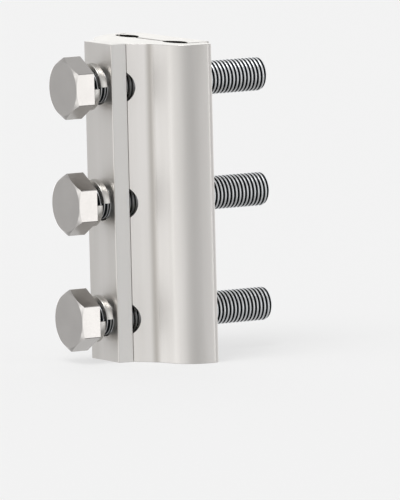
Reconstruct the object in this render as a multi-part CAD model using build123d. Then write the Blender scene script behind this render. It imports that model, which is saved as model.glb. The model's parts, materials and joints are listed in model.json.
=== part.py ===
from build123d import *
import os
from math import atan2, ceil, cos, degrees, hypot, pi, radians, sin, sqrt, tan

# A parallel groove clamp for two overhead conductors, standing on its end with its jaws closed.
# Millimetres. Z runs along the clamp and its conductors, X along the bolts with the heads at -X, and Y
# across the clamp. X = 0 is the split between the jaws, Y = 0 the row of bolts, and Z = 0 the lower end.

# The bolts: standard M10 hexagon bolts, threaded over their whole length
bolt_count = 3
bolt_pitch = 34.0
end_margin = 12.6
thread_d = 10.0
thread_step = 1.25
bolt_length = 60.0
head_across_flats = 16.0
head_height = 6.4
washer_face_d = 14.6
washer_face_height = 0.4
head_face_d = 15.8
head_chamfer_angle = 30.0
thread_depth = 0.613 * thread_step

# The spring washers, split and not compressed
spring_washer_bore_clearance = 0.4
spring_washer_breadth = 2.4
spring_washer_thickness = 1.9
spring_washer_free_height = 5.5
spring_washer_split = 0.4
spring_washer_sections = 13
washer_clearance = 0.05

# The saddle bar under the heads
bar_face_width = 15.8
bar_width = 17.8
bar_edge_thickness = 4.6
bar_hole_clearance = 1.0
seat_radius = 30.0
seat_clearance = 0.25
bar_corner_radius = 0.5

# The jaws where they meet
jaw_depth = 13.0
split_gap = 0.3
ridge_half_width = 7.6
recess_depth = 0.45
recess_inset = 0.7
slot_clearance = 1.0
slot_length = 21.6
tapped_hole_clearance = 0.05
countersink = 0.5

# The grooves that hold the conductors, and their serrations
groove_middle = 13.6
front_groove_depth = 1.7
back_groove_depth = 3.3
serration_pitch = 3.0
serration_depth = 0.7
serration_flats = 3
serration_overlap = 0.05
serration_run_out = 2.0
comb_back = 1.0

# The front jaw's near side: shoulder, belly and lip
crease_x = -8.4
crease_y = 14.35
belly_x = -4.6
belly_y = 25.8
belly_radius = 9.0
lip_x = 5.8
lip_outer_y = 27.3
lip_inner_y = 20.3
lip_root_x = 0.6
lip_outer_radius = 2.0
lip_inner_radius = 1.2

# The front jaw's far side: the hook
hook_root_x = 0.2
hook_root_y = 19.9
hook_reach_x = 5.6
hook_reach_y = 23.2
hook_tip_lead = 1.8
hook_thickness = 2.2
hook_back_rise = 4.1
hook_tip_radius = 1.0

# The back jaw's sides
back_thickness = 9.2
back_lip_x = 1.2
side_clearance = 0.8
back_side_x = 5.0
back_corner_radius = 1.2
fine_radius = 0.4

# Worked out from the sizes above
height = (bolt_count - 1) * bolt_pitch + 2 * end_margin
parting_x = -jaw_depth
bar_face_x = parting_x - bar_edge_thickness
head_seat_x = bar_face_x - spring_washer_free_height - washer_clearance
seat_sagitta = seat_radius - sqrt(seat_radius**2 - (bar_width / 2) ** 2)
seat_centre_x = parting_x - seat_sagitta + seat_radius
front_split_x = -split_gap / 2
back_split_x = split_gap / 2
bolt_heights = [end_margin + n * bolt_pitch for n in range(bolt_count)]
bolt_names = ["bottom", "middle", "top"]
near = -1
far = 1


def along_bolt(x, z):
    """A plane whose normal is the bolts' direction, at x along the bolts and z up the clamp."""
    return Plane(origin=(x, 0, z), x_dir=(0, 1, 0), z_dir=(1, 0, 0))


def extruded(outline):
    """The full-length extrusion of a closed outline drawn across the clamp."""
    return extrude(make_face(outline), height)


def circle_through(a, b, c):
    """Centre and radius of the circle through three points, from where two chords' bisectors cross."""
    ax, ay = b[0] - a[0], b[1] - a[1]
    bx, by = c[0] - a[0], c[1] - a[1]
    twice_area = 2 * (ax * by - ay * bx)
    cx = (by * (ax**2 + ay**2) - ay * (bx**2 + by**2)) / twice_area
    cy = (ax * (bx**2 + by**2) - bx * (ax**2 + ay**2)) / twice_area
    return (a[0] + cx, a[1] + cy), hypot(cx, cy)


def groove_points(jaw, side):
    """Where a groove starts at the middle ridge, is deepest, and ends at the outer edge."""
    if jaw == "front":
        end = (lip_root_x, near * lip_inner_y) if side == near else (hook_root_x, hook_root_y)
        return (front_split_x, side * ridge_half_width), (-front_groove_depth, side * groove_middle), end
    end = (back_lip_x, side * back_half_width(side))
    return (back_split_x, side * ridge_half_width), (back_groove_depth, side * groove_middle), end


def back_half_width(side):
    """Half width of the back jaw at its inner edge, kept clear of the front jaw's lip or hook."""
    if side == near:
        return lip_inner_y - side_clearance
    slope = (hook_reach_y - hook_root_y) / (hook_reach_x - hook_root_x)
    square_gap = side_clearance * hypot(1, slope)
    return hook_root_y + (back_lip_x - hook_root_x) * slope - square_gap


def groove_arc(jaw, side):
    """A groove's own axis, its radius, and where its serrations start and how far they turn, in degrees.

    They run out a little past both ends of the groove.
    """
    start, middle, end = groove_points(jaw, side)
    (cx, cy), radius = circle_through(start, middle, end)
    first, deepest, last = [degrees(atan2(p[1] - cy, p[0] - cx)) for p in (start, middle, end)]
    turn = (last - first) % 360
    if (deepest - first) % 360 > turn:
        first, turn = last, 360 - turn
    return Vector(cx, cy, 0), radius, first - serration_run_out, turn + 2 * serration_run_out


def serrations(jaw, side):
    """The cutter for one groove: a comb of V teeth carried round the groove on a few straight flats.

    The teeth run round the groove, so that they grip the conductor against sliding.
    """
    axis, radius, first, turn = groove_arc(jaw, side)
    half_flat = radians(turn / serration_flats / 2)
    crest = (radius + serration_overlap) / cos(half_flat)
    angles = [radians(first) + 2 * half_flat * n for n in range(serration_flats + 1)]
    corners = [axis + Vector(cos(a), sin(a), 0) * crest for a in angles]
    count = ceil(height / serration_pitch)
    step = height / count
    comb = [(-comb_back, (count + 1) * step), (-comb_back, -step), (0, -step)]
    for n in range(-1, count + 1):
        comb.append((serration_depth, (n + 0.5) * step))
        comb.append((0, (n + 1) * step))
    outwards = (corners[1] - corners[0]).cross(Vector(0, 0, 1)).normalized()
    section = Plane(origin=corners[0], x_dir=outwards, z_dir=corners[0] - corners[1])
    return sweep(section * make_face(Polyline(*comb, close=True)), path=Polyline(*corners), transition=Transition.RIGHT)


def front_jaw():
    """The jaw under the saddle bar: rolled side and lip near, hook far, slots for the bolts across it."""
    half_bar = bar_width / 2
    crown = (parting_x - seat_sagitta, 0)
    shoulder_near = (parting_x, -half_bar)
    shoulder_far = (parting_x, half_bar)
    crease = (crease_x, -crease_y)
    belly = (belly_x, -belly_y)
    lip_outer = (lip_x, -lip_outer_y)
    lip_inner = (lip_x, -lip_inner_y)
    recess_x = front_split_x - recess_depth
    recess_y = ridge_half_width - recess_inset
    near_start, near_middle, near_end = groove_points("front", near)
    far_start, far_middle, far_end = groove_points("front", far)
    hook_inner = (hook_reach_x, hook_reach_y)
    hook_tip = (hook_reach_x + hook_tip_lead, hook_reach_y + hook_thickness)
    outline = [
        ThreePointArc(shoulder_far, crown, shoulder_near),
        Polyline(shoulder_near, crease, belly, lip_outer, lip_inner, near_end),
        ThreePointArc(near_end, near_middle, near_start),
        Polyline(near_start, (recess_x, -recess_y), (recess_x, recess_y), far_start),
        ThreePointArc(far_start, far_middle, far_end),
        Polyline(far_end, hook_inner, hook_tip),
        SagittaArc(hook_tip, shoulder_far, -hook_back_rise),
    ]
    jaw = extruded(outline)
    jaw = round_edge(jaw, belly, belly_radius)
    jaw = round_edge(jaw, lip_outer, lip_outer_radius)
    jaw = round_edge(jaw, lip_inner, lip_inner_radius)
    jaw = round_edge(jaw, hook_inner, hook_tip_radius)
    jaw = round_edge(jaw, hook_tip, hook_tip_radius)
    for side in (near, far):
        jaw -= serrations("front", side)
    reach = jaw_depth + seat_sagitta + lip_x
    for z in bolt_heights:
        slot = SlotOverall(slot_length, thread_d + slot_clearance)
        jaw -= along_bolt(parting_x - seat_sagitta - 1, z) * extrude(slot, reach)
    return jaw


def back_jaw():
    """The jaw that the bolts screw into: flat outside, with grooves that face the front jaw's."""
    near_start, near_middle, near_end = groove_points("back", near)
    far_start, far_middle, far_end = groove_points("back", far)
    recess_x = back_split_x + recess_depth
    recess_y = ridge_half_width - recess_inset
    slope = (hook_reach_y - hook_root_y) / (hook_reach_x - hook_root_x)
    far_side_y = far_end[1] + (back_side_x - back_lip_x) * slope
    corner_near = (back_thickness, near_end[1])
    corner_far = (back_thickness, far_side_y)
    outline = [
        ThreePointArc(near_start, near_middle, near_end),
        Polyline(near_end, corner_near, corner_far, (back_side_x, far_side_y), far_end),
        ThreePointArc(far_end, far_middle, far_start),
        Polyline(far_start, (recess_x, recess_y), (recess_x, -recess_y), near_start),
    ]
    jaw = extruded(outline)
    for corner in (corner_near, corner_far):
        jaw = round_edge(jaw, corner, back_corner_radius)
    jaw = round_edge(jaw, near_end, fine_radius)
    for side in (near, far):
        jaw -= serrations("back", side)
    hole_r = thread_d / 2 + tapped_hole_clearance
    mouth_r = hole_r + countersink
    for z in bolt_heights:
        jaw -= along_bolt(0, z) * extrude(Circle(hole_r), back_thickness + 1)
        jaw -= along_bolt(back_thickness - countersink / 2, z) * Cone(hole_r, mouth_r, countersink)
    return jaw


def round_edge(extrusion, corner, radius):
    """The extrusion with the long edge at one corner of its outline rounded."""
    def away(edge):
        return hypot(edge.center().X - corner[0], edge.center().Y - corner[1])

    edge = extrusion.edges().filter_by(Axis.Z).sort_by(away)[0]
    return fillet(edge, radius)


def saddle_bar():
    """The pressure bar: flat under the washers, hollow underneath to sit on the jaw's round back."""
    half_bar = bar_width / 2
    half_face = bar_face_width / 2
    underside = seat_radius + seat_clearance
    edge_x = seat_centre_x - sqrt(underside**2 - half_bar**2)
    outline = [
        Polyline((edge_x, -half_bar), (bar_face_x, -half_face), (bar_face_x, half_face), (edge_x, half_bar)),
        ThreePointArc((edge_x, half_bar), (seat_centre_x - underside, 0), (edge_x, -half_bar)),
    ]
    bar = extruded(outline)
    for side in (near, far):
        bar = round_edge(bar, (bar_face_x, side * half_face), bar_corner_radius)
    hole_r = (thread_d + bar_hole_clearance) / 2
    for z in bolt_heights:
        bar -= along_bolt(bar_face_x - 1, z) * extrude(Circle(hole_r), bar_edge_thickness + 2)
    return bar


def bolt(z):
    """A hexagon bolt with its corners pointing up and down; its thread is a plain shank here."""
    across_corners = head_across_flats / (sqrt(3) / 2)
    prism_height = head_height - washer_face_height
    prism = extrude(RegularPolygon(across_corners / 2, 6, rotation=90), prism_height)
    fall = tan(radians(head_chamfer_angle))
    face_r = head_face_d / 2
    rim_r = across_corners
    cone_height = prism_height - (rim_r - face_r) * fall
    crown = Polyline((0, 0), (rim_r, 0), (rim_r, cone_height), (face_r, prism_height), (0, prism_height), close=True)
    head = prism & revolve(Plane.XZ * make_face(crown), Axis.Z)
    head = Pos(0, 0, washer_face_height) * head + extrude(Circle(washer_face_d / 2), washer_face_height)
    r = thread_d / 2
    shank = extrude(Circle(r), -bolt_length)
    shank = chamfer(shank.edges().sort_by(Axis.Z)[0], thread_depth)
    turned = Plane(origin=(head_seat_x, 0, z), x_dir=(0, 1, 0), z_dir=(-1, 0, 0))
    return turned * (head + shank)


def spring_washer(z):
    """Most of a turn of square-edged spring steel; the split faces the near side, its ends a climb apart."""
    middle_r = (thread_d + spring_washer_bore_clearance + spring_washer_breadth) / 2
    climb = spring_washer_free_height - spring_washer_thickness
    half_open = spring_washer_split / middle_r / 2
    sections = []
    for n in range(spring_washer_sections):
        share = n / (spring_washer_sections - 1)
        angle = half_open + (2 * pi - 2 * half_open) * share
        across = Vector(cos(angle), sin(angle), 0)
        middle = across * middle_r + Vector(0, 0, spring_washer_thickness / 2 + climb * share)
        section = Plane(origin=middle, x_dir=across, z_dir=(-sin(angle), cos(angle), 0))
        sections.append(section * Rectangle(spring_washer_breadth, spring_washer_thickness))
    turned = Plane(origin=(bar_face_x, 0, z), x_dir=(0, -1, 0), z_dir=(-1, 0, 0))
    return turned * loft(sections, ruled=True)


os.makedirs("parts", exist_ok=True)
export_step(front_jaw(), "parts/front_jaw.step")
export_step(back_jaw(), "parts/back_jaw.step")
export_step(saddle_bar(), "parts/saddle_bar.step")
for name, z in zip(bolt_names, bolt_heights):
    export_step(bolt(z), f"parts/bolt_{name}.step")
    export_step(spring_washer(z), f"parts/spring_washer_{name}.step")
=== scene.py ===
import json
from math import ceil, cos, hypot, pi, radians, sin, sqrt, tan
import bmesh
import bpy
import numpy as np
from mathutils import Matrix, Vector


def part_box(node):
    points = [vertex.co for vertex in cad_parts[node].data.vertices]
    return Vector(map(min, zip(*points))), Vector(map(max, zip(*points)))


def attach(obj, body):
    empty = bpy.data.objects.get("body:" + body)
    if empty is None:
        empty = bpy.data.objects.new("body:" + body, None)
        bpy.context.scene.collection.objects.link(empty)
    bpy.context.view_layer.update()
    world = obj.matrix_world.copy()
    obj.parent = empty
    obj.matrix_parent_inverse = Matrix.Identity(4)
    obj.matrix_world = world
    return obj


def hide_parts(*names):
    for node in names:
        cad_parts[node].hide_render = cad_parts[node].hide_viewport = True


# The looks of a parallel groove clamp: extruded aluminium jaws and saddle bar, zinc-plated bolts and
# spring washers. Sizes are in millimetres here and become metres where a mesh, light or camera is made.
# X runs along the bolts with the heads at -X, Y across the clamp, Z up along the clamp.
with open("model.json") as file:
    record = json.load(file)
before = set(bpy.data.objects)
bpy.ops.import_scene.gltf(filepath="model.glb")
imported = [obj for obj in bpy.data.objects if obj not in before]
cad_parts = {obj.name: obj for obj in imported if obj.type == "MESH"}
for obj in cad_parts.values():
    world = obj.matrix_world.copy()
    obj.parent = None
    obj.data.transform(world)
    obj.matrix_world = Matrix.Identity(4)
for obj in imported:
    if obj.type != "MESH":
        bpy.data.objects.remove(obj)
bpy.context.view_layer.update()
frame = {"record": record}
MM = 0.001

# Places that come from the frame
bodies = frame["record"]["behaviour"]["bodies"]
body_of_node = {node: body for body, nodes in bodies.items() for node in nodes}
bolt_names = ["bottom", "middle", "top"]


def box_mm(node):
    """A CAD node's lowest and highest corner in millimetres."""
    low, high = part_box(node)
    return np.array(low) / MM, np.array(high) / MM


height = box_mm("front_jaw")[1][2]
bar_face_x = box_mm("saddle_bar")[0][0]
bolt_face_x = box_mm("bolt_middle")[0][0]
bolt_end_x = box_mm("bolt_middle")[1][0]
bolt_heights = [float(sum(box_mm("bolt_" + name))[2] / 2) for name in bolt_names]

# Bolts: M10 with a fine thread, heads 16 mm across flats
thread_d = 10.0
thread_pitch = 1.25
thread_depth = 0.4
head_across_flats = 16.0
head_height = 6.4
head_face_d = 15.8
head_chamfer_angle = 30.0
washer_face_d = 14.6
washer_face_height = 0.4
least_chamfer = 0.05
head_edge_angle = 0.9
neck_gap = 0.2
point_drop = 0.15
point_edge = 0.1
end_gap = 0.01
thread_top = 0.2
thread_bottom = 0.25
thread_rounding = 0.4
samples_per_flat = 16
rows_per_pitch = 10

# Painted shade on the thread: between head and bar the ridges go this far towards the valleys' colour, and in
# the slots the valleys keep only this share of their painted shade, so the thread there is painted lighter
neck_shade = 0.34
slot_shade = 0.5

# Spring washers
washer_inner_d = 10.4
washer_outer_d = 13.8
washer_thickness = 2.2
washer_height = 4.8
washer_split = 0.4
washer_edge_radius = 0.3
washer_sections = 73

# Saddle bar
bar_face_width = 15.8
bar_width = 17.8
bar_edge_thickness = 4.6
bar_hole_d = 11.0
seat_radius = 30.0
seat_gap = 0.1
bar_corner_radius = 0.5

# Jaws where they meet
jaw_depth = 13.0
split_gap = 0.3
ridge_half_width = 7.6
recess_depth = 0.45
recess_inset = 0.7
slot_width = 11.0
slot_length = 21.6
hole_clearance = 0.05
countersink = 0.5

# Grooves
groove_middle = 13.6
front_groove_depth = 1.7
back_groove_depth = 3.3
serration_pitch = 1.5
serration_depth = 0.55

# Front jaw, near side
crease = (-8.4, -14.35)
crease_radius = 8.0
belly = (-4.6, -25.8)
belly_radius = 9.0
lip_outer = (5.8, -27.3)
lip_inner = (5.8, -20.3)
lip_root = (0.6, -20.3)
lip_outer_radius = 2.0
lip_inner_radius = 1.2

# Front jaw, far side
hook_root = (0.2, 19.9)
hook_reach = (5.6, 23.2)
hook_tip = (7.4, 25.4)
hook_back_rise = 4.1
hook_tip_radius = 1.0

# Back jaw
back_thickness = 9.2
back_lip_x = 1.2
side_clearance = 0.8
back_side_x = 5.0
back_corner_radius = 1.2
fine_radius = 0.4

# Small edges that every extrusion and saw cut has. The sawn edge is less than every corner's radius, or the
# end's outline would fold over itself.
die_radius = 0.25
parting_radius = 0.14
saw_edge = 0.1

# How far cutters reach past the metal, and what counts as one point after a cut
overshoot = 1.0
merge_distance = 0.004
hole_sides = 64

# Edges that turn by more than this stay sharp, in degrees
sharp_angle = 28.0
bolt_sharp_angle = 20.0

# Places in a piece's list of materials
SKIN, SAWN, DRILLED = range(3)


# Outlines

def arc(start, middle, end, count=24):
    """Points on the circle through three points: the centre is where the chords' bisectors cross."""
    a, b, c = (complex(*p) for p in (start, middle, end))
    w = (c - a) / (b - a)
    centre = a + (b - a) * (w - abs(w) ** 2) / (w - w.conjugate())
    radius = abs(a - centre)
    first = np.angle(a - centre)
    turn = (np.angle(c - centre) - first) % (2 * pi)
    if (np.angle(b - centre) - first) % (2 * pi) > turn:
        turn -= 2 * pi
    angles = first + turn * np.linspace(0, 1, count)
    return np.column_stack((centre.real + radius * np.cos(angles), centre.imag + radius * np.sin(angles)))


def line(start, end):
    """A straight stretch of an outline."""
    return np.array([start, end], float)


def cut_short(points, at_start, at_end, count):
    """A stretch resampled evenly by its length, with a length taken off each end."""
    lengths = np.concatenate(([0], np.cumsum(np.hypot(*np.diff(points, axis=0).T))))
    places = np.linspace(at_start, lengths[-1] - at_end, count)
    return np.column_stack([np.interp(places, lengths, points[:, axis]) for axis in (0, 1)])


def rounded(stretches, steps=9):
    """A closed outline from stretches (points, radius of the corner at their end, tag).

    A corner that turns by t is a circular arc of its radius, which starts radius * tan(t / 2) before it.
    The arc is the rational curve with the corner as its control point, weighted by cos(t / 2).
    Returns the points and each point's tag; the points on corners have the tag None.
    """
    corners = []
    for n, (points, radius, _) in enumerate(stretches):
        following = stretches[(n + 1) % len(stretches)][0]
        before = complex(*(points[-1] - points[-2]))
        after = complex(*(following[1] - following[0]))
        turn = abs(np.angle(after / before))
        corners.append((radius * tan(turn / 2), cos(turn / 2)))
    outline, tags = [], []
    straights = [
        cut_short(points, corners[n - 1][0], corners[n][0], max(2, len(points)))
        for n, (points, _, _) in enumerate(stretches)
    ]
    for n, (points, _, tag) in enumerate(stretches):
        start, corner, end = straights[n][-1], points[-1], straights[(n + 1) % len(straights)][0]
        s = np.linspace(0, 1, steps + 2)[1:-1, None]
        middle = 2 * corners[n][1] * s * (1 - s)
        curve = ((1 - s) ** 2 * start + middle * corner + s**2 * end) / ((1 - s) ** 2 + middle + s**2)
        outline += [straights[n], curve]
        tags += [tag] * len(straights[n]) + [None] * steps
    return np.concatenate(outline), tags


def outward(outline):
    """The outward unit normal at each point of a closed outline that runs anticlockwise."""
    along = np.roll(outline, -1, axis=0) - np.roll(outline, 1, axis=0)
    across = np.column_stack((along[:, 1], -along[:, 0]))
    return across / np.hypot(*across.T)[:, None]


# Meshes

def make_piece(name, vertices, faces, materials, indices=None):
    """A named mesh object from vertices in millimetres, with its place in its mesh."""
    mesh = bpy.data.meshes.new(name)
    mesh.from_pydata(np.asarray(vertices) * MM, [], faces)
    for material in materials:
        mesh.materials.append(material)
    if indices is not None:
        mesh.polygons.foreach_set("material_index", indices)
    mesh.validate()
    piece = bpy.data.objects.new(name, mesh)
    bpy.context.scene.collection.objects.link(piece)
    return piece


def ring_faces(rows, columns):
    """Quads between rows of points, each row closed on itself."""
    k, n = np.meshgrid(np.arange(rows - 1), np.arange(columns), indexing="ij")
    following = (n + 1) % columns
    low, high = k * columns, (k + 1) * columns
    quads = np.stack((low + n, low + following, high + following, high + n), -1)
    return quads.reshape(-1, 4).tolist()


def shade(piece, angle=sharp_angle, smooth_beyond_x=None):
    """Smooth shading with edges sharper than the angle kept, except beyond x, where all is smooth."""
    mesh = piece.data
    mesh.polygons.foreach_set("use_smooth", np.ones(len(mesh.polygons), bool))
    mesh.set_sharp_from_angle(angle=radians(angle))
    if smooth_beyond_x is not None:
        x = np.empty(len(mesh.vertices) * 3)
        mesh.vertices.foreach_get("co", x)
        ends = np.empty(len(mesh.edges) * 2, int)
        mesh.edges.foreach_get("vertices", ends)
        sharp = np.empty(len(mesh.edges), bool)
        mesh.edges.foreach_get("use_edge_sharp", sharp)
        inside = x.reshape(-1, 3)[ends.reshape(-1, 2), 0].max(axis=1) / MM < smooth_beyond_x
        mesh.edges.foreach_set("use_edge_sharp", sharp & inside)


def store(piece, name, values):
    """A number on each vertex, which a material reads by its name."""
    attribute = piece.data.attributes.new(name, "FLOAT", "POINT")
    attribute.data.foreach_set("value", np.asarray(values, np.float32))


def extrusion(name, stretches, materials, teeth=0):
    """An outline carried up the clamp's height, with sawn ends whose edges are taken off.

    A point in a groove goes into the metal by depth * (1 - |2 * part - 1|), where part runs from 0 to 1
    over each tooth up the clamp, so the teeth are V notches that run round the groove.
    """
    outline, tags = rounded(stretches)
    x, y = outline.T
    if np.dot(x, np.roll(y, -1)) < np.dot(y, np.roll(x, -1)):
        outline, tags = outline[::-1], tags[::-1]
    normals = outward(outline)
    grooved = np.array([tag == "groove" for tag in tags], float)
    steps = max(1, 2 * teeth)
    z = np.concatenate(([0], np.linspace(saw_edge, height - saw_edge, steps + 1), [height]))
    notch = np.zeros(len(z))
    notch[1:-1] = np.arange(steps + 1) % 2 if teeth else 0
    sawn = np.zeros(len(z))
    sawn[[0, -1]] = saw_edge
    inwards = notch[:, None] * grooved * serration_depth + sawn[:, None]
    xy = outline[None] - inwards[..., None] * normals[None]
    up_z = np.broadcast_to(z[:, None, None], xy.shape[:2] + (1,))
    vertices = np.concatenate((xy, up_z), axis=2).reshape(-1, 3)
    count = len(outline)
    faces = ring_faces(len(z), count)
    indices = [SKIN] * len(faces) + [SAWN, SAWN]
    faces += [list(range(count))[::-1], list(range((len(z) - 1) * count, len(z) * count))]
    return make_piece(name, vertices, faces, materials, indices)


def turned(name, x, radius, angles, z_middle, materials, index=SKIN):
    """A closed solid round a bolt's axis from grids x and radius [row, angle], shut at both ends."""
    y = radius * np.cos(angles)
    z = z_middle + radius * np.sin(angles)
    grid = np.stack((np.broadcast_to(x, y.shape), y, z), -1).reshape(-1, 3)
    rows, columns = y.shape
    poles = [[x[0].mean(), 0, z_middle], [x[-1].mean(), 0, z_middle]]
    first, last = len(grid), len(grid) + 1
    faces = ring_faces(rows, columns)
    for n in range(columns):
        m = (n + 1) % columns
        faces += [[first, n, m][::-1], [last, (rows - 1) * columns + m, (rows - 1) * columns + n][::-1]]
    return make_piece(name, np.concatenate((grid, poles)), faces, materials, [index] * len(faces))


def cut(piece, cutters):
    """The piece with the cutters taken out, its doubled points merged and its large faces in triangles.

    The cutters are deleted.
    """
    for cutter in cutters:
        boolean = piece.modifiers.new("cut", "BOOLEAN")
        boolean.operation = "DIFFERENCE"
        boolean.solver = "EXACT"
        boolean.object = cutter
    shown = piece.evaluated_get(bpy.context.evaluated_depsgraph_get())
    mesh = bpy.data.meshes.new_from_object(shown)
    shell = bmesh.new()
    shell.from_mesh(mesh)
    bmesh.ops.remove_doubles(shell, verts=shell.verts, dist=merge_distance * MM)
    bmesh.ops.triangulate(shell, faces=[face for face in shell.faces if len(face.verts) > 4])
    shell.to_mesh(mesh)
    shell.free()
    piece.modifiers.clear()
    piece.data = mesh
    for cutter in cutters:
        bpy.data.objects.remove(cutter)


# Materials

def linear(code):
    """An sRGB hex colour as linear red, green, blue and alpha."""
    values = np.array([int(code[n:n + 2], 16) for n in (1, 3, 5)]) / 255
    low = values / 12.92
    high = ((values + 0.055) / 1.055) ** 2.4
    return (*np.where(values <= 0.04045, low, high), 1.0)


def add(tree, kind, inputs=None, stops=(), **settings):
    """A node with its settings and, on a ramp, its stops of position and colour.

    Inputs are values, or (node, output) pairs that are linked.
    """
    node = tree.nodes.new(kind)
    for key, value in settings.items():
        setattr(node, key, value)
    if stops:
        elements = node.color_ramp.elements
        while len(elements) < len(stops):
            elements.new(0.5)
        for element, (position, colour) in zip(elements, stops):
            element.position = position
            element.color = colour
    for key, value in (inputs or {}).items():
        if isinstance(value, tuple) and isinstance(value[0], bpy.types.Node):
            tree.links.new(value[0].outputs[value[1]], node.inputs[key])
        else:
            node.inputs[key].default_value = value
    return node


def new_material(name):
    """An empty node material with its output, and its Object coordinates, which are in metres."""
    material = bpy.data.materials.new(name)
    material.use_nodes = True
    tree = material.node_tree
    tree.nodes.clear()
    coordinates = add(tree, "ShaderNodeTexCoord")
    output = add(tree, "ShaderNodeOutputMaterial")
    return material, tree, (coordinates, "Object"), output


def streaks(tree, place, scale, detail=3.0):
    """Noise drawn out by a different size along each axis; scale is features per metre."""
    mapped = add(tree, "ShaderNodeMapping", {"Vector": place, "Scale": scale})
    return add(tree, "ShaderNodeTexNoise", {"Vector": (mapped, "Vector"), "Scale": 1.0, "Detail": detail})


# Where most of a noise texture's values lie
noise_low = 0.3
noise_high = 0.7


def metal(name, colours, roughness, grain, detail, bump, tint_grain=None):
    """A metal whose grain varies its colour a little, its roughness, and its height by bump micrometres."""
    material, tree, place, output = new_material(name)
    lines = streaks(tree, place, grain, detail)
    patches = streaks(tree, place, tint_grain or grain, 2.0)
    tones = [(noise_low, linear(colours[0])), (noise_high, linear(colours[1]))]
    tint = add(tree, "ShaderNodeValToRGB", {"Fac": (patches, "Fac")}, tones)
    rough = add(tree, "ShaderNodeMapRange", {
        "Value": (lines, "Fac"), "From Min": noise_low, "From Max": noise_high,
        "To Min": roughness[0], "To Max": roughness[1],
    })
    relief = add(tree, "ShaderNodeBump", {
        "Height": (lines, "Fac"), "Strength": 1.0, "Distance": bump * 1e-6,
    })
    shader = add(tree, "ShaderNodeBsdfPrincipled", {
        "Base Color": (tint, "Color"), "Metallic": 1.0, "Roughness": (rough, "Result"),
        "Normal": (relief, "Normal"),
    })
    tree.links.new(shader.outputs["BSDF"], output.inputs["Surface"])
    return material


# Aluminium from the extrusion press, tumbled to a satin finish: faint die lines run up the clamp, one
# about every half millimetre, and the surface is even enough to show soft bands of light.
aluminium = metal(
    "extruded_aluminium_satin", colours=("#DAD7D3", "#E4E1DE"), roughness=(0.34, 0.42),
    grain=(2000, 2000, 12), detail=3.0, bump=3.0, tint_grain=(150, 150, 15),
)

# Where painted light and shade go on the aluminium: how far the painted shade in the inner corner reaches,
# where behind the bar's face the painted highlight on its sides begins, and the box of the grooves' painted
# shade
corner_reach = 2.0
bevel_from = 0.15
bevel_to = 0.35
ridge_margin = 0.3
lip_margin = 0.4
groove_x = (-front_groove_depth - serration_depth, lip_inner[0] - lip_margin)
groove_y = (ridge_half_width - ridge_margin, -lip_root[1] + lip_margin)


def shade_aluminium(material, crease_shade, bevel_highlight, grooves):
    """Painted shade darkens the near side's inner corner and the grooves' teeth; a painted highlight
    brightens the bar's bevelled sides.

    The corner's share is a smooth step of the distance from its line, 1 on it and 0 from corner_reach on. The
    bevelled sides are what lies behind the bar's face and in front of the jaws. The teeth are what lies in
    the box low <= x <= high, low <= |y| <= high, given as |x - middle| <= half its width.
    """
    tree = material.node_tree
    shader = next(node for node in tree.nodes if node.type == "BSDF_PRINCIPLED")
    tint = shader.inputs["Base Color"].links[0].from_socket.node
    place = add(tree, "ShaderNodeTexCoord")
    offset = add(tree, "ShaderNodeVectorMath", {
        0: (place, "Object"), 1: (crease[0] * MM, crease[1] * MM, 0),
    }, operation="SUBTRACT")
    flat = add(tree, "ShaderNodeVectorMath", {0: (offset, "Vector"), 1: (1, 1, 0)}, operation="MULTIPLY")
    distance = add(tree, "ShaderNodeVectorMath", {0: (flat, "Vector")}, operation="LENGTH")
    # Painted shade: the crease colour's share, 1 on the inner corner's line and 0 from corner_reach on
    corner = add(tree, "ShaderNodeMapRange", {
        "Value": (distance, "Value"), "From Min": 0.0, "From Max": corner_reach * MM,
        "To Min": 1.0, "To Max": 0.0,
    }, interpolation_type="SMOOTHSTEP")
    along = add(tree, "ShaderNodeSeparateXYZ", {"Vector": (place, "Object")})
    # Painted highlight: the bar's bevelled sides, behind its face and in front of the jaws, are made brighter
    behind = add(tree, "ShaderNodeMapRange", {
        "Value": (along, "X"),
        "From Min": (bar_face_x + bevel_from) * MM, "From Max": (bar_face_x + bevel_to) * MM,
    })
    ahead = add(tree, "ShaderNodeMath", {0: (along, "X"), 1: -jaw_depth * MM}, operation="LESS_THAN")
    side = add(tree, "ShaderNodeMath", {0: (behind, "Result"), 1: (ahead, "Value")}, operation="MULTIPLY")
    # Painted shade: the grooves' teeth inside this box are made dark
    across = add(tree, "ShaderNodeMath", {0: (along, "Y")}, operation="ABSOLUTE")
    in_x, in_y = [
        add(tree, "ShaderNodeMath", {
            0: source, 1: (low + high) / 2 * MM, 2: (high - low) / 2 * MM,
        }, operation="COMPARE")
        for source, (low, high) in (((along, "X"), groove_x), ((across, "Value"), groove_y))
    ]
    inside = add(tree, "ShaderNodeMath", {0: (in_x, "Value"), 1: (in_y, "Value")}, operation="MULTIPLY")
    colour = (tint, "Color")
    for share, painted_tone in (((corner, "Result"), crease_shade), ((side, "Value"), bevel_highlight), ((inside, "Value"), grooves)):
        mixed = add(tree, "ShaderNodeMix", {0: share, 6: colour, 7: linear(painted_tone)}, data_type="RGBA")
        colour = (mixed, 2)
    tree.links.new(mixed.outputs[2], shader.inputs["Base Color"])


# Painted shade in the inner corner and the grooves, and a painted highlight on the bar's bevelled sides
shade_aluminium(aluminium, crease_shade="#B4B0AB", bevel_highlight="#F2F0ED", grooves="#6E6B67")

# The same aluminium where the saw cut it to length: scratches across the end, brighter and rougher.
sawn_aluminium = metal(
    "sawn_aluminium", colours=("#E4E2DE", "#F0EEEA"), roughness=(0.40, 0.55),
    grain=(350, 3500, 350), detail=2.0, bump=8.0, tint_grain=(200, 2000, 200),
)

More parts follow.
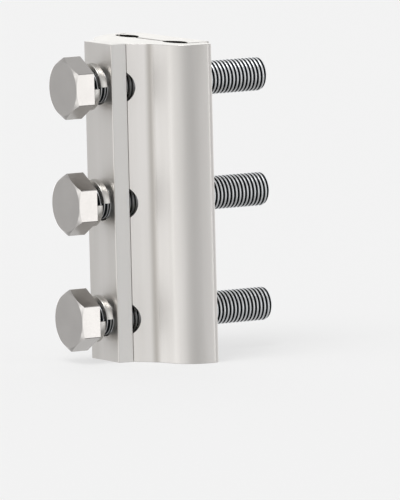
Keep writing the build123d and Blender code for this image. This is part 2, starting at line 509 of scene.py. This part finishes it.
# Aluminium where a drill or cutter went through it: brighter still, and matt.
drilled_aluminium = metal(
    "drilled_aluminium", colours=("#EDEBE7", "#F6F4F0"), roughness=(0.7, 0.85),
    grain=(3000, 1500, 1500), detail=2.0, bump=6.0,
)

# Steel with bright zinc plating: smooth and darker than the aluminium, with a grain too fine to feel.
zinc = metal(
    "zinc_plated_steel", colours=("#C6C3C0", "#CCC9C6"), roughness=(0.16, 0.2),
    grain=(1500, 1500, 1500), detail=3.0, bump=0.4, tint_grain=(120, 120, 120),
)

# Depths between which the thread's colour goes from its ridge to its valley
ridge_ends = 0.28
valley_begins = 0.52


def colour_thread(material, ridge, valley, roughness):
    """On the thread the colour goes from a painted highlight on the ridge to painted shade in the valley.

    The attribute thread_depth is 0 on a ridge, 1 in a valley and -1 on the head; between head and bar it is
    raised towards a valley's value for painted shade, and in the slots lowered for less painted shade.
    """
    tree = material.node_tree
    shader = next(node for node in tree.nodes if node.type == "BSDF_PRINCIPLED")
    plain = shader.inputs["Base Color"].links[0].from_socket.node
    depth = add(tree, "ShaderNodeAttribute", attribute_name="thread_depth")
    on_thread = add(tree, "ShaderNodeMath", {0: (depth, "Fac"), 1: -0.5}, operation="GREATER_THAN")
    low = add(tree, "ShaderNodeMapRange", {
        "Value": (depth, "Fac"), "From Min": ridge_ends, "From Max": valley_begins,
    })
    bright = add(tree, "ShaderNodeMix", {
        0: (on_thread, "Value"), 6: (plain, "Color"), 7: linear(ridge),
    }, data_type="RGBA")
    dark = add(tree, "ShaderNodeMix", {
        0: (low, "Result"), 6: (bright, 2), 7: linear(valley),
    }, data_type="RGBA")
    tree.links.new(dark.outputs[2], shader.inputs["Base Color"])
    smooth = shader.inputs["Roughness"].links[0].from_socket
    rough = add(tree, "ShaderNodeMix", {0: (on_thread, "Value"), 3: roughness}, data_type="FLOAT")
    tree.links.new(smooth, rough.inputs[2])
    tree.links.new(rough.outputs[0], shader.inputs["Roughness"])


# Painted highlight on the thread's ridges and painted shade in its valleys
colour_thread(zinc, ridge="#F6F8FA", valley="#1A1E22", roughness=0.38)

# Spring steel with the same plating over a drawn surface, so duller than the bolts.
spring_zinc = metal(
    "zinc_plated_spring_steel", colours=("#CAC8C4", "#D0CECA"), roughness=(0.27, 0.34),
    grain=(1200, 1200, 1200), detail=3.0, bump=0.5,
)


# The jaws and the bar

parting_x = -jaw_depth
half_bar = bar_width / 2
seat_sagitta = seat_radius - sqrt(seat_radius**2 - half_bar**2)
seat_centre_x = parting_x - seat_sagitta + seat_radius
front_split_x = -split_gap / 2
back_split_x = split_gap / 2
recess_y = ridge_half_width - recess_inset
teeth = ceil(height / serration_pitch)
hook_slope = (hook_reach[1] - hook_root[1]) / (hook_reach[0] - hook_root[0])
jaw_materials = [aluminium, sawn_aluminium, drilled_aluminium]


def bolt_cutter(z, half_length, half_width, low_x, high_x):
    """A straight-sided hole along a bolt: a circle stretched across the clamp by a straight part."""
    angles = np.linspace(0, 2 * pi, hole_sides, endpoint=False) + pi / hole_sides
    straight = half_length - half_width
    y = half_width * np.cos(angles) + straight * np.sign(np.cos(angles))
    height_at = z + half_width * np.sin(angles)
    ends = [np.column_stack((np.full(hole_sides, x), y, height_at)) for x in (low_x, high_x)]
    faces = ring_faces(2, hole_sides)
    faces += [list(range(hole_sides))[::-1], list(range(hole_sides, 2 * hole_sides))]
    return make_piece("cutter", np.concatenate(ends), faces, jaw_materials, [DRILLED] * len(faces))


def front_jaw():
    """The jaw under the saddle bar: rolled side and lip near, hook far, slots for the bolts across it."""
    shoulder_near = (parting_x, -half_bar)
    shoulder_far = (parting_x, half_bar)
    crown = (parting_x - seat_sagitta, 0)
    near_start = (front_split_x, -ridge_half_width)
    far_start = (front_split_x, ridge_half_width)
    recess_x = front_split_x - recess_depth
    chord = np.subtract(hook_tip, shoulder_far)
    chord_normal = np.array((-chord[1], chord[0])) / np.hypot(*chord)
    hook_crown = np.add(hook_tip, shoulder_far) / 2 + hook_back_rise * chord_normal
    stretches = [
        (arc(shoulder_far, crown, shoulder_near), parting_radius, None),
        (line(shoulder_near, crease), crease_radius, None),
        (line(crease, belly), belly_radius, None),
        (line(belly, lip_outer), lip_outer_radius, None),
        (line(lip_outer, lip_inner), lip_inner_radius, None),
        (line(lip_inner, lip_root), die_radius, None),
        (arc(lip_root, (-front_groove_depth, -groove_middle), near_start), die_radius, "groove"),
        (line(near_start, (recess_x, -recess_y)), die_radius, None),
        (line((recess_x, -recess_y), (recess_x, recess_y)), die_radius, None),
        (line((recess_x, recess_y), far_start), die_radius, None),
        (arc(far_start, (-front_groove_depth, groove_middle), hook_root), die_radius, "groove"),
        (line(hook_root, hook_reach), hook_tip_radius, None),
        (line(hook_reach, hook_tip), hook_tip_radius, None),
        (arc(hook_tip, hook_crown, shoulder_far, count=48), parting_radius, None),
    ]
    piece = extrusion("front_jaw_dressed", stretches, jaw_materials, teeth)
    reach = (parting_x - seat_sagitta - overshoot, lip_outer[0])
    cut(piece, [bolt_cutter(z, slot_length / 2, slot_width / 2, *reach) for z in bolt_heights])
    shade(piece)
    return piece


def back_jaw():
    """The jaw that the bolts screw into: flat outside, with grooves that face the front jaw's."""
    near_y = lip_root[1] + side_clearance
    far_y = hook_root[1] + (back_lip_x - hook_root[0]) * hook_slope - side_clearance * hypot(1, hook_slope)
    far_side_y = far_y + (back_side_x - back_lip_x) * hook_slope
    near_end = (back_lip_x, near_y)
    far_end = (back_lip_x, far_y)
    near_start = (back_split_x, -ridge_half_width)
    far_start = (back_split_x, ridge_half_width)
    recess_x = back_split_x + recess_depth
    stretches = [
        (arc(near_start, (back_groove_depth, -groove_middle), near_end), fine_radius, "groove"),
        (line(near_end, (back_thickness, near_y)), back_corner_radius, None),
        (line((back_thickness, near_y), (back_thickness, far_side_y)), back_corner_radius, None),
        (line((back_thickness, far_side_y), (back_side_x, far_side_y)), die_radius, None),
        (line((back_side_x, far_side_y), far_end), die_radius, None),
        (arc(far_end, (back_groove_depth, groove_middle), far_start), die_radius, "groove"),
        (line(far_start, (recess_x, recess_y)), die_radius, None),
        (line((recess_x, recess_y), (recess_x, -recess_y)), die_radius, None),
        (line((recess_x, -recess_y), near_start), die_radius, None),
    ]
    piece = extrusion("back_jaw_dressed", stretches, jaw_materials, teeth)
    angles = np.linspace(0, 2 * pi, hole_sides, endpoint=False)
    hole_r = thread_d / 2 + hole_clearance
    rows_x = np.array([back_split_x - overshoot, back_thickness - countersink, back_thickness + overshoot])
    radii = np.array([hole_r, hole_r, hole_r + countersink + overshoot])
    grid = (rows_x[:, None], radii[:, None] * np.ones(hole_sides))
    cut(piece, [turned("cutter", *grid, angles, z, jaw_materials, DRILLED) for z in bolt_heights])
    shade(piece)
    return piece


def saddle_bar():
    """The pressure bar: flat under the washers, hollow underneath to sit on the jaw's round back."""
    half_face = bar_face_width / 2
    underside = seat_radius + seat_gap
    edge_x = seat_centre_x - sqrt(underside**2 - half_bar**2)
    near_edge, far_edge = (edge_x, -half_bar), (edge_x, half_bar)
    stretches = [
        (line(near_edge, (bar_face_x, -half_face)), bar_corner_radius, None),
        (line((bar_face_x, -half_face), (bar_face_x, half_face)), bar_corner_radius, None),
        (line((bar_face_x, half_face), far_edge), parting_radius, None),
        (arc(far_edge, (seat_centre_x - underside, 0), near_edge), parting_radius, None),
    ]
    piece = extrusion("saddle_bar_dressed", stretches, jaw_materials)
    reach = (bar_face_x - overshoot, bar_face_x + bar_edge_thickness + overshoot)
    cut(piece, [bolt_cutter(z, bar_hole_d / 2, bar_hole_d / 2, *reach) for z in bolt_heights])
    shade(piece)
    return piece


# Bolts and washers

def thread_radius(x, angles):
    """The radius of a right-hand thread at x along the bolt and at an angle round it.

    With part = x / pitch - angle / turn, the ridge is highest where part is whole. It falls in a straight
    line to the root, with the top and the bottom of the full V left off. A smooth step s**2 * (3 - 2 * s)
    is mixed in by thread_rounding, which rounds both ends.
    """
    part = x / thread_pitch - angles / (2 * pi)
    away = np.abs((part + 0.5) % 1 - 0.5) * 2
    s = np.clip((away - thread_top) / (1 - thread_top - thread_bottom), 0, 1)
    return thread_d / 2 - thread_depth * ((1 - thread_rounding) * s + thread_rounding * s**2 * (3 - 2 * s))


def bolt(name, z):
    """A hexagon bolt in one surface: face, chamfer, six flats, washer face, thread and pointed end.

    At an angle a from the middle of a flat the head reaches across_flats / 2 / cos(a). The chamfer is a
    cone, so the flats end in curves. Each corner is taken off by leaving out its last degree. The thread
    fades in over its first pitch, and the point is a cone whose radius grows as fast as the distance from
    the end.
    """
    flat = np.linspace(-30 + head_edge_angle, 30 - head_edge_angle, samples_per_flat)
    angles = np.radians(np.concatenate([flat + 60 * n for n in range(6)]))
    reach = head_across_flats / 2 / np.cos(np.radians(np.tile(flat, 6)))
    face_r = head_face_d / 2
    fall = tan(radians(head_chamfer_angle))
    seat_x = bolt_face_x + head_height
    under_x = seat_x - washer_face_height
    chamfer_x = bolt_face_x + np.maximum(least_chamfer, (reach - face_r) * fall)
    full = np.ones(len(angles))
    rows = [
        (bolt_face_x * full, 0.5 * face_r * full),
        (bolt_face_x * full, face_r * full),
        (chamfer_x, reach),
        (under_x * full, reach),
        (under_x * full, (washer_face_d / 2) * full),
        (seat_x * full, (washer_face_d / 2) * full),
        (seat_x * full, (thread_d / 2) * full),
    ]
    x = np.arange(seat_x + neck_gap, bolt_end_x - end_gap, thread_pitch / rows_per_pitch)[:, None] * full
    point = thread_d / 2 - thread_depth - point_drop + (bolt_end_x - x)
    blend = np.clip((x - seat_x) / thread_pitch, 0, 1)
    ridge = (thread_d / 2) * (1 - blend) + thread_radius(x, angles) * blend
    shank = np.minimum(ridge, point)
    end = (bolt_end_x * full, shank[-1] - point_edge)
    all_x = np.concatenate([np.array([row[0] for row in rows]), x, [end[0]]])
    all_r = np.concatenate([np.array([row[1] for row in rows]), shank, [end[1]]])
    piece = turned(f"bolt_{name}_dressed", all_x, all_r, angles, z, [zinc])
    shade(piece, bolt_sharp_angle, smooth_beyond_x=seat_x + neck_gap / 2)
    depth = np.full(all_r.shape, -1.0)
    depth[len(rows):-1] = (thread_d / 2 - thread_radius(x, angles)) / thread_depth
    # Painted shade between head and bar, and less painted shade on the thread in the slots
    behind_head = (all_x > seat_x) & (all_x < bar_face_x)
    depth[behind_head] = neck_shade + (1 - neck_shade) * depth[behind_head]
    depth[(all_x > bar_face_x) & (all_x < 0)] *= slot_shade
    store(piece, "thread_depth", np.append(depth.ravel(), [-1, -1]))
    return piece


def spring_washer(name, z):
    """A rounded rectangle carried once round the bolt while it climbs towards the head, which it touches."""
    middle_r = (washer_inner_d + washer_outer_d) / 4
    half_breadth = (washer_outer_d - washer_inner_d) / 4
    half_thickness = washer_thickness / 2
    corners = [(-half_breadth, -half_thickness), (half_breadth, -half_thickness),
               (half_breadth, half_thickness), (-half_breadth, half_thickness)]
    sides = [(line(corners[n], corners[(n + 1) % 4]), washer_edge_radius, None) for n in range(4)]
    section = rounded(sides, steps=3)[0]
    half_open = washer_split / middle_r / 2
    a = np.linspace(half_open, 2 * pi - half_open, washer_sections)[:, None]
    climb = (washer_height - washer_thickness) * (a - half_open) / (2 * pi - 2 * half_open)
    radius = middle_r + section[:, 0]
    x = bolt_face_x + head_height + washer_height - half_thickness - climb + section[:, 1]
    vertices = np.stack((x, -radius * np.cos(a), z + radius * np.sin(a)), -1).reshape(-1, 3)
    count = len(section)
    faces = ring_faces(len(a), count)
    faces += [list(range(count))[::-1], list(range((len(a) - 1) * count, len(a) * count))]
    piece = make_piece(f"spring_washer_{name}_dressed", vertices, faces, [spring_zinc])
    shade(piece)
    return piece


def dress(piece, node):
    """The piece stands for a CAD node, which is hidden, and rides on its body."""
    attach(piece, body_of_node[node])
    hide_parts(node)


dress(front_jaw(), "front_jaw")
dress(back_jaw(), "back_jaw")
dress(saddle_bar(), "saddle_bar")
for name, z in zip(bolt_names, bolt_heights):
    dress(bolt(name, z), f"bolt_{name}")
    dress(spring_washer(name, z), f"spring_washer_{name}")


# Floor, light and camera

# A pale, matt board under the clamp, so wide that its edge lies out of view
floor_size = 12.0
floor_glow_share = 0.7
floor_mesh = bpy.data.meshes.new("floor")
half = floor_size / 2
floor_corners = [(-half, -half, 0), (half, -half, 0), (half, half, 0), (-half, half, 0)]
floor_mesh.from_pydata(floor_corners, [], [(0, 1, 2, 3)])
floor = bpy.data.objects.new("floor", floor_mesh)
bpy.context.scene.collection.objects.link(floor)
floor_material, floor_tree, _, floor_output = new_material("pale_painted_board")
floor_shader = add(floor_tree, "ShaderNodeBsdfPrincipled", {
    "Base Color": linear("#FBFBFB"), "Roughness": 0.9,
})
# What the camera sees of the floor is mostly its own pale colour, so the clamp's shadow stays a light one
floor_glow = add(floor_tree, "ShaderNodeEmission", {"Color": linear("#F0F0F0"), "Strength": 1.0})
seen = add(floor_tree, "ShaderNodeLightPath")
share = add(floor_tree, "ShaderNodeMath", {
    0: (seen, "Is Camera Ray"), 1: floor_glow_share,
}, operation="MULTIPLY")
floor_surface = add(floor_tree, "ShaderNodeMixShader", {
    0: (share, "Value"), 1: (floor_shader, "BSDF"), 2: (floor_glow, "Emission"),
})
floor_tree.links.new(floor_surface.outputs["Shader"], floor_output.inputs["Surface"])
floor_mesh.materials.append(floor_material)
# The metal shows the studio's walls down to the bottom, not the floor
floor.visible_glossy = False

# The studio's walls as grey levels round the clamp: azimuth in degrees from +X towards +Y, and level
studio_ring = [
    (-180, 1.0), (-172, 1.0), (-160, 1.06), (-150, 0.88), (-130, 0.66), (-105, 0.58), (-88, 0.7),
    (-75, 0.55), (-65, 0.66), (-63, 1.9), (-55, 1.9), (-52, 0.7), (-20, 0.65), (30, 1.1), (46, 1.15),
    (55, 1.5), (80, 1.5), (100, 0.64), (125, 0.64), (148, 1.1), (161, 1.0), (165, 1.0), (168, 1.8),
    (172, 1.8), (175, 1.0), (180, 1.0),
]
# The same from the floor up to the ceiling: sine of the elevation, and share of the ring's level
studio_rise = [(-1.0, 0.45), (-0.7, 0.56), (-0.35, 0.95), (0.3, 1.0), (0.6, 0.66), (0.85, 0.54), (1.0, 0.46)]
# A ramp's colours end at 1, so the ring holds half its levels and the strength doubles them
ring_scale = 2.0
key_light_strength = 1.26
key_light_angle = 35.0
key_light_from = (-0.45, -0.25, 1.0)

world = bpy.data.worlds.new("studio")
bpy.context.scene.world = world
world.use_nodes = True
tree = world.node_tree
tree.nodes.clear()
direction = add(tree, "ShaderNodeTexCoord")
round_clamp = add(tree, "ShaderNodeTexGradient", {
    "Vector": (direction, "Generated"),
}, gradient_type="RADIAL")
ring_stops = [((azimuth + 180) / 360, (level / ring_scale,) * 3 + (1,)) for azimuth, level in studio_ring]
ring = add(tree, "ShaderNodeValToRGB", {"Fac": (round_clamp, "Fac")}, ring_stops)
split = add(tree, "ShaderNodeSeparateXYZ", {"Vector": (direction, "Generated")})
rise = add(tree, "ShaderNodeMath", {0: (split, "Z"), 1: 0.5, 2: 0.5}, operation="MULTIPLY_ADD")
rise_stops = [((sine + 1) / 2, (level,) * 3 + (1,)) for sine, level in studio_rise]
levels = add(tree, "ShaderNodeValToRGB", {"Fac": (rise, "Value")}, rise_stops)
studio = add(tree, "ShaderNodeMix", {
    0: 1.0, 6: (ring, "Color"), 7: (levels, "Color"),
}, data_type="RGBA", blend_type="MULTIPLY")
background = add(tree, "ShaderNodeBackground", {"Color": (studio, 2), "Strength": ring_scale})
add(tree, "ShaderNodeOutputWorld", {"Surface": (background, "Background")})

key_light = bpy.data.lights.new("key_light", "SUN")
key_light.energy = key_light_strength
key_light.angle = radians(key_light_angle)
key_box = bpy.data.objects.new("key_light", key_light)
key_box.rotation_euler = Vector(key_light_from).to_track_quat("Z", "Y").to_euler()
bpy.context.scene.collection.objects.link(key_box)

# The camera, from matching bolt centres, corners and outlines with the photograph
camera_azimuth = radians(-30.43)
camera_elevation = radians(6.233)
camera_roll = radians(1.388)
camera_distance = 3000.0
pixels_per_mm = 3.415
image_height = 500
sensor_width = 36.0
target = Vector((0, 0, 47.5))
aim_right = 13.30
aim_up = -16.57

forward = Vector((
    -sin(camera_azimuth) * cos(camera_elevation),
    cos(camera_azimuth) * cos(camera_elevation),
    -sin(camera_elevation),
))
right = Vector((cos(camera_azimuth), sin(camera_azimuth), 0))
up = right.cross(forward)
image_right = right * cos(camera_roll) - up * sin(camera_roll)
image_up = right * sin(camera_roll) + up * cos(camera_roll)
camera_data = bpy.data.cameras.new("camera")
camera_data.sensor_width = sensor_width
camera_data.lens = sensor_width * camera_distance / (image_height / pixels_per_mm)
camera_data.clip_end = 100.0
camera = bpy.data.objects.new("camera", camera_data)
place = (target + right * aim_right + up * aim_up - forward * camera_distance) * MM
turn = Matrix((image_right, image_up, -forward)).transposed()
camera.matrix_world = Matrix.Translation(place) @ turn.to_4x4()
bpy.context.scene.collection.objects.link(camera)
bpy.context.scene.camera = camera
bpy.context.scene.view_settings.view_transform = "Standard"
